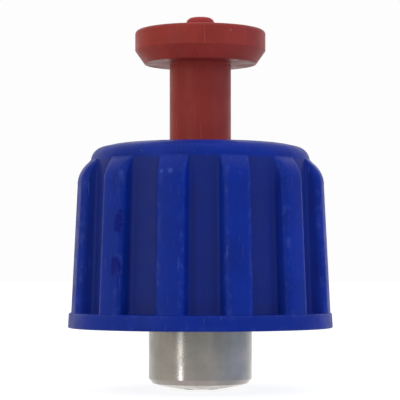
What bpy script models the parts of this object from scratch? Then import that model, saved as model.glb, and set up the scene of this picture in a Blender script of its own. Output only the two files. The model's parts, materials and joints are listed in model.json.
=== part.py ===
"""Push-button drip emitter in a ribbed screw cap, for a riser with a G 3/4 male thread.

Metres, +Z up along the thread's axis. The origin is the middle of the seal plane, where the
riser's end meets the gasket. Water comes in through the strainer holes in the sleeve's dome,
passes the screen, the labyrinth and the diaphragm, enters the hollow stem through its cross
port and drips from the nozzle in the button. Pressing the button lowers the poppet off the
valve seat, so that the full flow flushes the stem.
"""

import math

import bmesh
import bpy
from mathutils import Matrix

MM = 0.001
ROUND = 36  # sides of a piece that shows, or that runs on another
ROUND_SMALL = 24  # sides of a piece inside the sleeve
GAP = 0.3 * MM  # between pieces that rest on each other
RUNNING = 0.08 * MM  # radial clearance of the stem in its bush
SWIVEL = 0.10 * MM  # radial clearance of the cap on the bonnet's neck

# The riser's thread, G 3/4
THREAD_MAJOR_R = 13.22 * MM
THREAD_MINOR_R = 12.06 * MM
THREAD_PITCH = 1.814 * MM
THREAD_HALF_ANGLE = math.radians(27.5)
THREAD_ROOT = 0.3 * MM  # width of the flat at the thread's root
THREAD_STEPS = 24  # steps in one turn of the thread
RISER_ENTRY = 11.44 * MM  # from the cap's mouth to the seal plane

# Screw cap
CAP_HEIGHT = 28.08 * MM
CAP_TOP_WALL = 3.0 * MM
CAP_SHOULDER_R = 16.91 * MM  # bottom of the grooves, at the shoulder
CAP_DRAFT = 0.7 * MM  # the wall's extra radius at the flange
CAP_EDGE = 2.0 * MM  # round of the shoulder
CAP_CROWN = 0.14 * MM  # how far the top falls to the shoulder's round
CAP_CROWN_R = 12.5 * MM  # where it starts to fall
FLANGE_R = 20.37 * MM
FLANGE_HEIGHT = 2.32 * MM
FLANGE_DRAFT = 0.12 * MM
FLANGE_EDGE = 0.25 * MM
MOUTH_BEVEL = 1.44 * MM
RIB_COUNT = 12
RIB_WIDTH = 4.4 * MM
RIB_SETBACK = 0.25 * MM  # the ribs' feet, inside the flange's edge
RIB_DRAFT = 0.95 * MM  # how much further in their tops are
RIB_TOP_ROUND = 4.2 * MM
RIB_TOP_SWEEP = 75  # degrees of the round, which ends inside the wall
RIB_SHOULDER_DROP = 4.03 * MM  # from the shoulder's edge down to where the ribs' round tops begin
RIB_EDGE = 0.8 * MM

# Gasket, collar and slip washer, stacked up from the seal plane
GASKET_THICKNESS = 1.8 * MM
GASKET_SNAP = 0.94 * MM  # how far the gasket reaches over the thread's crests
GASKET_BORE_PLAY = 0.35 * MM
COLLAR_THICKNESS = 2.0 * MM
COLLAR_PLAY = 0.06 * MM
SLIP_THICKNESS = 0.6 * MM

# Sleeve
SLEEVE_R = 8.0 * MM
SLEEVE_DROP = 21.0 * MM  # from the seal plane to the dome's lowest point
SLEEVE_WALL = 1.2 * MM
SLEEVE_TAPER = 0.06 * MM
SLEEVE_CHAMFER = 0.6 * MM
SLEEVE_CHAMFER_HEIGHT = 0.75 * MM
DOME_RISE = 1.06 * MM
DOME_WALL = 1.8 * MM
NECK_EXTRA_R = 0.3 * MM
NECK_HEIGHT = 3.9 * MM
STRAINER_HOLE_R = 0.8 * MM
STRAINER_RING_R = 3.7 * MM
STRAINER_COUNT = 6

# Button and stem
TRAVEL = 6.0 * MM
STEM_R = 4.75 * MM
STEM_SHOWN = 12.64 * MM  # between the cap's top and the button's underside, at rest
BUTTON_R = 10.1 * MM
BUTTON_HEIGHT = 5.19 * MM
BUTTON_UNDER_R = 8.65 * MM
BUTTON_CHAMFER_HEIGHT = 2.06 * MM
BUTTON_EDGE = 0.7 * MM
ROD_R = 2.6 * MM
WATERWAY_R = 1.1 * MM
PORT_R = 0.8 * MM
PORT_DROP = 2.2 * MM  # from the stem's shoulder down to the cross port
NOZZLE_R = 2.21 * MM
NOZZLE_TOP_R = 1.24 * MM
NOZZLE_HEIGHT = 2.06 * MM
NOZZLE_SPIGOT_R = 1.6 * MM
NOZZLE_SPIGOT = 2.8 * MM
NOZZLE_WATERWAY_R = 0.8 * MM
NOZZLE_SEAT = 0.8 * MM  # depth of the recess in the button that takes the nozzle's foot
ORIFICE_R = 0.35 * MM
PRESS_FIT = 0.15 * MM  # play drawn on the radius where a piece is pressed or screwed in

# Bonnet and the stem's seal and bearing
BONNET_WALL = 1.8 * MM
NECK_WALL = 1.3 * MM
NECK_PROUD = 0.3 * MM  # the bonnet's neck above the cap's top
BONNET_FLAT_INSET = 0.9 * MM
BUSH_LENGTH = 2.3 * MM
O_RING_CORD_R = 0.7 * MM
SMALL_CORD_R = 0.5 * MM
O_RING_PLAY = 0.1 * MM
LIP_THICKNESS = 0.75 * MM
CLIP_THICKNESS = 0.8 * MM
CLIP_DEPTH = 0.65 * MM
CLIP_OPENING = math.radians(70)
SHOULDER_BELOW_CLIP = 1.2 * MM

# Return spring
SPRING_WIRE = 0.6 * MM
SPRING_PLAY = 0.7 * MM
SPRING_TURNS = 9
SPRING_STEPS = 12  # points in one turn
COIL_GAP = 0.12 * MM  # between the wires of the closed turn at each end

# Valve stack inside the sleeve
STEP = 0.6 * MM  # the step in the sleeve's bore that the valve seat rests on
SCREEN_THICKNESS = 0.4 * MM
SCREEN_HOLE_R = 0.4 * MM
SCREEN_PITCH = 1.7 * MM
SNAP_RING_THICKNESS = 0.8 * MM
SNAP_RING_WIDTH = 1.0 * MM
POPPET_CLEAR = 0.6 * MM  # left under the poppet when the button is fully pressed
POPPET_HEIGHT = 2.4 * MM
POPPET_FLOOR = 1.1 * MM
POPPET_RIM = 0.7 * MM
POPPET_PLAY = 0.7 * MM  # between the poppet and the sleeve's bore
SEAL_THICKNESS = 1.3 * MM
SEAT_LIP = 0.5 * MM
SEAT_LIP_WIDTH = 0.7 * MM
SEAT_THICKNESS = 2.4 * MM
SEAT_HOLE_PLAY = 0.5 * MM
SEAT_INLET_R = 0.45 * MM
SEAT_INLETS = 4
SEAT_GROOVE = 1.1 * MM
LABYRINTH_HEIGHT = 3.3 * MM
LABYRINTH_PLAY = 0.5 * MM  # between the spring and the labyrinth's bore
LABYRINTH_RIM = 0.7 * MM
TEETH = 16
TOOTH_WIDTH = 0.6 * MM
TOOTH_REACH = 0.62  # a tooth's length, as a share of the channel's height
DIAPHRAGM_THICKNESS = 0.7 * MM
SCREW_R = 0.9 * MM
SCREW_HEAD_R = 1.9 * MM
SCREW_HEAD = 0.8 * MM
SCREW_GRIP = 4.8 * MM

# Places worked out from the sizes above, from the cap down to the dome
cap_mouth_z = -RISER_ENTRY
cap_top_z = cap_mouth_z + CAP_HEIGHT
cap_shoulder_z = cap_top_z - CAP_CROWN - CAP_EDGE
ceiling_z = cap_top_z - CAP_TOP_WALL
flange_top_z = cap_mouth_z + FLANGE_HEIGHT
collar_low_z = GASKET_THICKNESS + GAP
collar_top_z = collar_low_z + COLLAR_THICKNESS
slip_low_z = collar_top_z + GAP
slip_top_z = slip_low_z + SLIP_THICKNESS
ledge_z = slip_top_z + GAP
neck_top_z = collar_top_z + NECK_HEIGHT
bonnet_low_z = collar_top_z + GAP
bonnet_shoulder_z = ceiling_z - GAP
bonnet_top_z = cap_top_z + NECK_PROUD
bush_low_z = bonnet_top_z - BUSH_LENGTH
stem_ring_z = bush_low_z - GAP - O_RING_CORD_R
lip_top_z = stem_ring_z - O_RING_CORD_R - GAP
lip_low_z = lip_top_z - LIP_THICKNESS
clip_top_z = lip_low_z - GAP
clip_low_z = clip_top_z - CLIP_THICKNESS
shoulder_z = clip_low_z - SHOULDER_BELOW_CLIP
port_z = shoulder_z - PORT_DROP
button_low_z = cap_top_z + STEM_SHOWN
button_top_z = button_low_z + BUTTON_HEIGHT
nozzle_seat_z = button_top_z - NOZZLE_SEAT
dome_z = -SLEEVE_DROP
screen_low_z = dome_z + DOME_WALL + GAP
screen_ring_low_z = screen_low_z + SCREEN_THICKNESS + GAP
screen_ring_top_z = screen_ring_low_z + SNAP_RING_THICKNESS
poppet_low_z = screen_ring_top_z + POPPET_CLEAR + TRAVEL
poppet_top_z = poppet_low_z + POPPET_HEIGHT
rod_end_z = poppet_low_z + POPPET_FLOOR + GAP
seal_top_z = rod_end_z + SEAL_THICKNESS
seat_lip_z = seal_top_z + GAP
seat_low_z = seat_lip_z + SEAT_LIP
seat_top_z = seat_low_z + SEAT_THICKNESS
labyrinth_low_z = seat_top_z + GAP
labyrinth_top_z = labyrinth_low_z + LABYRINTH_HEIGHT
diaphragm_low_z = labyrinth_top_z + GAP
diaphragm_top_z = diaphragm_low_z + DIAPHRAGM_THICKNESS
stack_clip_low_z = diaphragm_top_z + GAP
stack_clip_top_z = stack_clip_low_z + SNAP_RING_THICKNESS
spring_low_z = seat_top_z + GAP
spring_top_z = shoulder_z - GAP

# Radii worked out from the sizes above
sleeve_bore_r = SLEEVE_R - SLEEVE_WALL
inlet_bore_r = sleeve_bore_r - STEP
stack_r = sleeve_bore_r - GAP
spring_r = ROD_R + SPRING_PLAY + SPRING_WIRE / 2
spring_outer_r = spring_r + SPRING_WIRE / 2
labyrinth_bore_r = spring_outer_r + LABYRINTH_PLAY
neck_r = SLEEVE_R + NECK_EXTRA_R
bonnet_r = neck_r + GAP + BONNET_WALL
chamber_r = bonnet_r + GAP
collar_r = THREAD_MINOR_R - COLLAR_PLAY
collar_bore_r = collar_r + GAP
gasket_r = THREAD_MINOR_R + GASKET_SNAP
groove_r = max(gasket_r, THREAD_MAJOR_R) + GAP
guide_r = STEM_R + RUNNING
bonnet_bore_r = STEM_R + 2 * O_RING_CORD_R + 2 * O_RING_PLAY
bush_r = bonnet_bore_r - SWIVEL
bonnet_neck_r = bonnet_bore_r + NECK_WALL
cap_hole_r = bonnet_neck_r + SWIVEL
spring_chamber_r = sleeve_bore_r + SWIVEL
clip_r = sleeve_bore_r - 2 * GAP
wall_low_r = CAP_SHOULDER_R + CAP_DRAFT
rib_low_r = FLANGE_R - RIB_SETBACK
rib_high_r = rib_low_r - RIB_DRAFT
seat_hole_r = ROD_R + SEAT_HOLE_PLAY
poppet_r = inlet_bore_r - POPPET_PLAY
sleeve_tip_r = SLEEVE_R - SLEEVE_TAPER


def clear_scene():
    for thing in list(bpy.data.objects):
        bpy.data.objects.remove(thing)


def material(name, color, roughness, metallic=0.0):
    finish = bpy.data.materials.new(name)
    finish.use_nodes = True
    shader = finish.node_tree.nodes["Principled BSDF"]
    shader.inputs["Base Color"].default_value = (*color, 1.0)
    shader.inputs["Roughness"].default_value = roughness
    shader.inputs["Metallic"].default_value = metallic
    return finish


def arc(centre_r, centre_z, radius, start_deg, end_deg, steps):
    """Points (r, z) along a round stretch of an outline, both ends included."""
    angles = (math.radians(start_deg + (end_deg - start_deg) * i / steps) for i in range(steps + 1))
    return [(centre_r + radius * math.cos(a), centre_z + radius * math.sin(a)) for a in angles]


def place(name, mesh, finish):
    """The mesh as an object of the scene, shaded smooth apart from its edges."""
    mesh.shade_smooth()
    mesh.set_sharp_from_angle(angle=math.radians(35))
    mesh.materials.append(finish)
    thing = bpy.data.objects.new(name, mesh)
    bpy.context.scene.collection.objects.link(thing)
    return thing


def mesh_of(name, form):
    bmesh.ops.recalc_face_normals(form, faces=form.faces)
    mesh = bpy.data.meshes.new(name)
    form.to_mesh(mesh)
    form.free()
    return mesh


def turned_form(outline, sides):
    """A turned solid from its outline (r, z): a loop, or a chain from axis to axis."""
    form = bmesh.new()
    points = [form.verts.new((r, 0, z)) for r, z in outline]
    edges = [form.edges.new(pair) for pair in zip(points, points[1:])]
    if outline[0][0] > 0:
        edges.append(form.edges.new((points[-1], points[0])))
    bmesh.ops.spin(
        form,
        geom=points + edges,
        cent=(0, 0, 0),
        axis=(0, 0, 1),
        angle=2 * math.pi,
        steps=sides,
        use_merge=True,
        use_duplicate=False,
    )
    bmesh.ops.remove_doubles(form, verts=form.verts, dist=1e-7)
    return form


def turned(name, outline, finish, sides=ROUND):
    return place(name, mesh_of(name, turned_form(outline, sides)), finish)


def ring(inner_r, outer_r, low_z, top_z):
    """The outline of a plain ring."""
    return [(inner_r, low_z), (outer_r, low_z), (outer_r, top_z), (inner_r, top_z)]


def rod(radius, low_z, top_z):
    """The outline of a plain solid rod."""
    return [(0, low_z), (radius, low_z), (radius, top_z), (0, top_z)]


def cutter(name, forms):
    """One guide object out of several closed forms, left out of the finished model."""
    whole = bmesh.new()
    for form in forms:
        piece = mesh_of(name, form)
        whole.from_mesh(piece)
        bpy.data.meshes.remove(piece)
    mesh = bpy.data.meshes.new(name)
    whole.to_mesh(mesh)
    whole.free()
    guide = bpy.data.objects.new(name, mesh)
    bpy.context.scene.collection.objects.link(guide)
    guide.hide_render = True
    guide.display_type = "WIRE"
    return guide


def combine(thing, guide, operation):
    step = thing.modifiers.new(guide.name, "BOOLEAN")
    step.operation = operation
    step.object = guide
    step.solver = "EXACT"


def moved(form, x=0.0, y=0.0, z=0.0, turn=0.0, axis="Z"):
    """The form turned about an axis through the origin and then shifted."""
    shift = Matrix.Translation((x, y, z)) @ Matrix.Rotation(turn, 4, axis)
    bmesh.ops.transform(form, matrix=shift, verts=form.verts)
    return form


def box_form(low, high):
    form = bmesh.new()
    bmesh.ops.create_cube(form, size=1.0)
    for vert in form.verts:
        vert.co = [a + (b - a) * (c + 0.5) for a, b, c in zip(low, high, vert.co)]
    return form


def around(count, make):
    """Forms made by make(angle) at equal steps about the axis."""
    return [make(2 * math.pi * i / count) for i in range(count)]


def holes_at(radius, places, low_z, top_z, sides=12):
    """Upright drills of one radius at the places (x, y)."""
    return [moved(turned_form(rod(radius, low_z, top_z), sides), x, y) for x, y in places]


def circle_of(count, ring_r):
    angles = (2 * math.pi * i / count for i in range(count))
    return [(ring_r * math.cos(a), ring_r * math.sin(a)) for a in angles]


def split_gap(name, opening, outer_r, low_z, top_z):
    """The wedge that opens a snap ring: a block centred on +X."""
    half = math.sin(opening / 2) * outer_r
    return cutter(name, [box_form((0, -half, low_z - GAP), (2 * outer_r, half, top_z + GAP))])


# --- screw cap ---------------------------------------------------------------------------


def rib_form(angle):
    """One grip rib: its side outline, extruded to the rib's width, with rounded edges."""
    inner_r = groove_r + (CAP_SHOULDER_R - groove_r) / 3
    foot_z = flange_top_z - FLANGE_HEIGHT / 2
    round_z = cap_shoulder_z - RIB_SHOULDER_DROP
    foot = [(inner_r, foot_z), (rib_low_r, foot_z)]
    top = arc(rib_high_r - RIB_TOP_ROUND, round_z, RIB_TOP_ROUND, 0, RIB_TOP_SWEEP, 6)
    outline = foot + top + [(inner_r, top[-1][1])]
    form = bmesh.new()
    corners = [form.verts.new((r, -RIB_WIDTH / 2, z)) for r, z in outline]
    side = form.faces.new(corners)
    out = bmesh.ops.extrude_face_region(form, geom=[side])
    far = [v for v in out["geom"] if isinstance(v, bmesh.types.BMVert)]
    bmesh.ops.translate(form, vec=(0, RIB_WIDTH, 0), verts=far)
    rims = [e for e in form.edges if abs(e.verts[0].co.y - e.verts[1].co.y) < RIB_WIDTH / 2]
    bmesh.ops.bevel(form, geom=rims, offset=RIB_EDGE, segments=1, affect="EDGES", profile=0.5)
    return moved(form, turn=angle)


def thread_form():
    """The helical groove of the female thread, from below the mouth up into the gasket's groove."""
    reach = THREAD_MINOR_R - COLLAR_PLAY
    depth = THREAD_MAJOR_R - reach
    root_half = THREAD_ROOT / 2
    open_half = root_half + depth * math.tan(THREAD_HALF_ANGLE)
    start_z = cap_mouth_z - THREAD_PITCH
    steps = math.ceil((-start_z) / THREAD_PITCH * THREAD_STEPS)
    section = [
        (reach, -open_half),
        (THREAD_MAJOR_R, -root_half),
        (THREAD_MAJOR_R, root_half),
        (reach, open_half),
    ]
    form = bmesh.new()
    rows = []
    for i in range(steps + 1):
        turn = 2 * math.pi * i / THREAD_STEPS
        z = start_z + THREAD_PITCH * i / THREAD_STEPS
        rows.append([form.verts.new((r * math.cos(turn), r * math.sin(turn), z + up)) for r, up in section])
    for low, high in zip(rows, rows[1:]):
        for k in range(len(section)):
            form.faces.new((low[k - 1], low[k], high[k], high[k - 1]))
    form.faces.new(rows[0])
    form.faces.new(rows[-1])
    return form


def screw_cap():
    outline = [
        (FLANGE_R - FLANGE_EDGE, cap_mouth_z),
        (FLANGE_R, cap_mouth_z + FLANGE_EDGE),
        (FLANGE_R - FLANGE_DRAFT, flange_top_z - FLANGE_EDGE),
        (FLANGE_R - FLANGE_DRAFT - FLANGE_EDGE, flange_top_z),
        (wall_low_r, flange_top_z),
        *arc(CAP_SHOULDER_R - CAP_EDGE, cap_shoulder_z, CAP_EDGE, 0, 90, 6),
        (CAP_CROWN_R, cap_top_z),
        (cap_hole_r, cap_top_z),
        (cap_hole_r, ceiling_z),
        (chamber_r, ceiling_z),
        (chamber_r, ledge_z),
        (collar_bore_r, ledge_z),
        (collar_bore_r, collar_low_z),
        (groove_r, collar_low_z),
        (groove_r, -THREAD_PITCH / 2),
        (THREAD_MINOR_R, -THREAD_PITCH / 2),
        (THREAD_MINOR_R, cap_mouth_z + MOUTH_BEVEL),
        (THREAD_MAJOR_R + GAP, cap_mouth_z),
    ]
    blue = material("blue_plastic", (0.017, 0.028, 0.21), 0.45)
    cap = turned("screw_cap", outline, blue)
    # the middle of the front groove faces -Y
    ribs = around(RIB_COUNT, lambda angle: rib_form(angle + math.pi / RIB_COUNT))
    combine(cap, cutter("screw_cap_ribs", ribs), "UNION")
    combine(cap, cutter("screw_cap_thread", [thread_form()]), "DIFFERENCE")
    return cap


# --- button, stem and nozzle -----------------------------------------------------------------


def flush_plunger():
    pilot_r = SCREW_R + PRESS_FIT
    pilot_top_z = rod_end_z + SCREW_GRIP
    waterway_low_z = port_z - PORT_R - GAP
    socket_r = NOZZLE_SPIGOT_R + PRESS_FIT
    socket_z = button_top_z - NOZZLE_SPIGOT - GAP
    clip_groove_r = STEM_R - CLIP_DEPTH - GAP / 2
    outline = [
        (0, pilot_top_z),
        (pilot_r, pilot_top_z),
        (pilot_r, rod_end_z),
        (ROD_R, rod_end_z),
        (ROD_R, shoulder_z),
        (STEM_R, shoulder_z),
        (STEM_R, clip_low_z - GAP / 3),
        (clip_groove_r, clip_low_z - GAP / 3),
        (clip_groove_r, clip_top_z + GAP / 3),
        (STEM_R, clip_top_z + GAP / 3),
        (STEM_R, button_low_z),
        (BUTTON_UNDER_R, button_low_z),
        (BUTTON_R, button_low_z + BUTTON_CHAMFER_HEIGHT),
        *arc(BUTTON_R - BUTTON_EDGE, button_top_z - BUTTON_EDGE, BUTTON_EDGE, 0, 90, 4),
        (NOZZLE_R + PRESS_FIT, button_top_z),
        (NOZZLE_R + PRESS_FIT, nozzle_seat_z),
        (socket_r, nozzle_seat_z),
        (socket_r, socket_z),
        (WATERWAY_R, socket_z),
        (WATERWAY_R, waterway_low_z),
        (0, waterway_low_z),
    ]
    red = material("red_plastic", (0.27, 0.033, 0.026), 0.42)
    plunger = turned("flush_plunger", outline, red)
    port = turned_form(rod(PORT_R, -2 * ROD_R, 2 * ROD_R), 12)
    port = moved(moved(port, turn=math.pi / 2, axis="Y"), z=port_z)
    combine(plunger, cutter("flush_plunger_port", [port]), "DIFFERENCE")
    return plunger


def drip_nozzle():
    foot_z = nozzle_seat_z + GAP
    top_z = button_top_z + NOZZLE_HEIGHT
    crown = NOZZLE_R - NOZZLE_TOP_R
    outline = [
        (NOZZLE_SPIGOT_R, button_top_z - NOZZLE_SPIGOT),
        (NOZZLE_SPIGOT_R, foot_z),
        (NOZZLE_R, foot_z),
        *arc(NOZZLE_TOP_R, top_z - crown, crown, 0, 90, 4),
        (ORIFICE_R, top_z),
        (ORIFICE_R, top_z - crown),
        (NOZZLE_WATERWAY_R, top_z - crown),
        (NOZZLE_WATERWAY_R, button_top_z - NOZZLE_SPIGOT),
    ]
    return turned("drip_nozzle", outline, material("nozzle_plastic", (0.33, 0.04, 0.03), 0.4), ROUND_SMALL)


def retaining_clip():
    clip = turned(
        "retaining_clip",
        ring(STEM_R - CLIP_DEPTH, clip_r, clip_low_z, clip_top_z),
        material("clip_steel", (0.55, 0.55, 0.56), 0.3, 1.0),
        ROUND_SMALL,
    )
    opening = split_gap("retaining_clip_gap", CLIP_OPENING, STEM_R - CLIP_DEPTH, clip_low_z, clip_top_z)
    combine(clip, opening, "DIFFERENCE")
    return clip


def return_spring():
    """A round-wire spring with one closed turn at each end, as a curve with a round section."""
    wire_r = SPRING_WIRE / 2
    length = spring_top_z - spring_low_z - SPRING_WIRE
    closed_pitch = SPRING_WIRE + COIL_GAP
    open_pitch = (length - 2 * closed_pitch) / (SPRING_TURNS - 2)
    spring_curve = bpy.data.curves.new("return_spring", "CURVE")
    spring_curve.dimensions = "3D"
    spring_curve.bevel_depth = wire_r
    spring_curve.bevel_resolution = 1
    spring_curve.use_fill_caps = True
    spring_curve.materials.append(material("spring_steel", (0.5, 0.5, 0.5), 0.35, 1.0))
    path = spring_curve.splines.new("POLY")
    steps = SPRING_TURNS * SPRING_STEPS
    path.points.add(steps)
    for i in range(steps + 1):
        turns = i / SPRING_STEPS
        closed = min(turns, 1) + max(turns - (SPRING_TURNS - 1), 0)
        z = spring_low_z + wire_r + closed_pitch * closed + open_pitch * (turns - closed)
        angle = 2 * math.pi * turns
        path.points[i].co = (spring_r * math.cos(angle), spring_r * math.sin(angle), z, 1)
    spring = bpy.data.objects.new("return_spring", spring_curve)
    bpy.context.scene.collection.objects.link(spring)
    return spring


# --- sleeve, bonnet and their seals -----------------------------------------------------------


def valve_sleeve():
    rim_r = sleeve_tip_r - SLEEVE_CHAMFER
    rim_z = dome_z + DOME_RISE
    dome_radius = (rim_r**2 + DOME_RISE**2) / (2 * DOME_RISE)
    half_angle = math.degrees(math.asin(rim_r / dome_radius))
    dome = arc(0, dome_z + dome_radius, dome_radius, -90, -90 + half_angle, 5)
    groove_deep_r = sleeve_bore_r + (GAP + SLEEVE_WALL) / 4
    outline = [
        (0, dome_z),
        *dome[1:],
        (sleeve_tip_r, rim_z + SLEEVE_CHAMFER_HEIGHT),
        (SLEEVE_R, -GAP),
        (SLEEVE_R, collar_low_z),
        (collar_r, collar_low_z),
        (collar_r, collar_top_z),
        (neck_r, collar_top_z),
        (neck_r, neck_top_z),
        (sleeve_bore_r, neck_top_z),
        (sleeve_bore_r, stack_clip_top_z + GAP),
        (groove_deep_r, stack_clip_top_z + GAP),
        (groove_deep_r, stack_clip_low_z - GAP / 2),
        (sleeve_bore_r, stack_clip_low_z - GAP / 2),
        (sleeve_bore_r, seat_low_z - GAP),
        (inlet_bore_r, seat_low_z - GAP),
        (inlet_bore_r, dome_z + DOME_WALL),
        (0, dome_z + DOME_WALL),
    ]
    steel = material("sleeve_metal", (0.32, 0.31, 0.31), 0.28, 1.0)
    sleeve = turned("valve_sleeve", outline, steel)
    places = [(0, 0)] + circle_of(STRAINER_COUNT, STRAINER_RING_R)
    drills = holes_at(STRAINER_HOLE_R, places, dome_z - DOME_WALL, dome_z + 2 * DOME_WALL)
    combine(sleeve, cutter("valve_sleeve_strainer", drills), "DIFFERENCE")
    return sleeve


def bonnet():
    seal_bore_r = neck_r + 2 * SMALL_CORD_R + 2 * O_RING_PLAY
    seal_top = collar_top_z + 2 * SMALL_CORD_R + 2 * GAP
    skirt_r = neck_r + GAP
    outline = [
        (seal_bore_r, bonnet_low_z),
        (bonnet_r, bonnet_low_z),
        (bonnet_r, bonnet_shoulder_z),
        (bonnet_neck_r, bonnet_shoulder_z),
        (bonnet_neck_r, bonnet_top_z),
        (bonnet_bore_r, bonnet_top_z),
        (bonnet_bore_r, lip_top_z),
        (guide_r, lip_top_z),
        (guide_r, lip_low_z),
        (spring_chamber_r, lip_low_z),
        (spring_chamber_r, neck_top_z + GAP),
        (skirt_r, neck_top_z + GAP),
        (skirt_r, seal_top),
        (seal_bore_r, seal_top),
    ]
    body = turned("bonnet", outline, material("bonnet_plastic", (0.03, 0.03, 0.032), 0.5))
    flat_r = (bonnet_r - BONNET_FLAT_INSET) / math.cos(math.pi / 6)
    flats = turned_form(ring(flat_r, 2 * bonnet_r, neck_top_z - GAP, bonnet_top_z + GAP), 6)
    combine(body, cutter("bonnet_flats", [flats]), "DIFFERENCE")
    return body


def guide_bush():
    outline = ring(guide_r, bush_r, bush_low_z, bonnet_top_z)
    return turned("guide_bush", outline, material("bush_plastic", (0.7, 0.69, 0.66), 0.4))


def o_ring(name, inner_r, cord_r, centre_z):
    centre_r = inner_r + cord_r
    outline = arc(centre_r, centre_z, cord_r, 0, 315, 7)
    return turned(name, outline, material(name + "_rubber", (0.015, 0.015, 0.015), 0.7), ROUND_SMALL)


def slip_washer():
    outline = ring(chamber_r, collar_r - O_RING_PLAY, slip_low_z, slip_top_z)
    return turned("slip_washer", outline, material("slip_plastic", (0.75, 0.74, 0.7), 0.35))


def riser_gasket():
    outline = ring(SLEEVE_R + GASKET_BORE_PLAY, gasket_r, 0, GASKET_THICKNESS)
    return turned("riser_gasket", outline, material("gasket_rubber", (0.02, 0.02, 0.02), 0.75))


# --- valve, labyrinth and strainer ------------------------------------------------------------


def valve_seat():
    groove_floor_r = stack_r - SEAT_GROOVE
    middle_z = (seat_low_z + seat_top_z) / 2
    half = SMALL_CORD_R + O_RING_PLAY
    lip_r = seat_hole_r + SEAT_LIP_WIDTH
    outline = [
        (seat_hole_r, seat_lip_z),
        (lip_r, seat_lip_z),
        (lip_r, seat_low_z),
        (stack_r, seat_low_z),
        (stack_r, middle_z - half),
        (groove_floor_r, middle_z - half),
        (groove_floor_r, middle_z + half),
        (stack_r, middle_z + half),
        (stack_r, seat_top_z),
        (seat_hole_r, seat_top_z),
    ]
    seat = turned("valve_seat", outline, material("seat_brass", (0.6, 0.42, 0.17), 0.3, 1.0), ROUND_SMALL)
    inlet_ring_r = (lip_r + groove_floor_r) / 2
    places = circle_of(SEAT_INLETS, inlet_ring_r)
    drills = holes_at(SEAT_INLET_R, places, seat_lip_z - GAP, seat_top_z + GAP, 8)
    combine(seat, cutter("valve_seat_inlets", drills), "DIFFERENCE")
    return seat


def seat_o_ring():
    middle_z = (seat_low_z + seat_top_z) / 2
    inner_r = stack_r - SEAT_GROOVE + O_RING_PLAY
    return o_ring("seat_o_ring", inner_r, SMALL_CORD_R, middle_z)


def labyrinth_core():
    """A ring with a channel around it, and teeth from its two rims that make the channel a zigzag."""
    channel_r = labyrinth_bore_r + (stack_r - labyrinth_bore_r) / 2
    low_z = labyrinth_low_z + LABYRINTH_RIM
    high_z = labyrinth_top_z - LABYRINTH_RIM
    outline = [
        (labyrinth_bore_r, labyrinth_low_z),
        (stack_r, labyrinth_low_z),
        (stack_r, low_z),
        (channel_r, low_z),
        (channel_r, high_z),
        (stack_r, high_z),
        (stack_r, labyrinth_top_z),
        (labyrinth_bore_r, labyrinth_top_z),
    ]
    core = turned("labyrinth_core", outline, material("core_plastic", (0.08, 0.08, 0.085), 0.5), ROUND_SMALL)
    tooth = (high_z - low_z) * TOOTH_REACH
    root_r = (labyrinth_bore_r + channel_r) / 2
    tip_r = (channel_r + 3 * stack_r) / 4
    teeth = []
    for i in range(TEETH):
        low = low_z - LABYRINTH_RIM / 2 if i % 2 else high_z - tooth
        high = low_z + tooth if i % 2 else high_z + LABYRINTH_RIM / 2
        block = box_form((root_r, -TOOTH_WIDTH / 2, low), (tip_r, TOOTH_WIDTH / 2, high))
        teeth.append(moved(block, turn=2 * math.pi * (i + 0.5) / TEETH))
    combine(core, cutter("labyrinth_core_teeth", teeth), "UNION")
    return core


def diaphragm():
    """A flat ring with one shallow rounded pleat, so that it can flex."""
    middle_r = (labyrinth_bore_r + stack_r) / 2
    pleat = DIAPHRAGM_THICKNESS / 2
    outline = [
        (labyrinth_bore_r, diaphragm_low_z),
        (stack_r, diaphragm_low_z),
        (stack_r, diaphragm_top_z),
        *arc(middle_r, diaphragm_top_z, pleat, 0, -180, 4),
        (labyrinth_bore_r, diaphragm_top_z),
    ]
    return turned("diaphragm", outline, material("silicone", (0.6, 0.6, 0.58), 0.5), ROUND_SMALL)


def snap_ring(name, inner_r, outer_r, low_z, opening):
    steel = material(name + "_steel", (0.55, 0.55, 0.56), 0.3, 1.0)
    clip = turned(name, ring(inner_r, outer_r, low_z, low_z + SNAP_RING_THICKNESS), steel, ROUND_SMALL)
    gap = split_gap(name + "_gap", opening, inner_r, low_z, low_z + SNAP_RING_THICKNESS)
    combine(clip, gap, "DIFFERENCE")
    return clip


def stack_clip():
    outer_r = sleeve_bore_r + GAP / 3
    return snap_ring("stack_clip", stack_r - SNAP_RING_WIDTH, outer_r, stack_clip_low_z, CLIP_OPENING / 2)


def poppet():
    hole_r = SCREW_R + PRESS_FIT
    cup_r = poppet_r - POPPET_RIM
    floor_z = poppet_low_z + POPPET_FLOOR
    outline = [
        (hole_r, poppet_low_z),
        (poppet_r - GAP, poppet_low_z),
        (poppet_r, poppet_low_z + GAP),
        (poppet_r, poppet_top_z),
        (cup_r, poppet_top_z),
        (cup_r, floor_z),
        (hole_r, floor_z),
    ]
    return turned("poppet", outline, material("poppet_brass", (0.6, 0.42, 0.17), 0.35, 1.0), ROUND_SMALL)


def poppet_seal():
    outline = ring(ROD_R + GAP, poppet_r - POPPET_RIM - GAP, rod_end_z, seal_top_z)
    return turned("poppet_seal", outline, material("seal_rubber", (0.02, 0.02, 0.02), 0.7), ROUND_SMALL)


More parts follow.
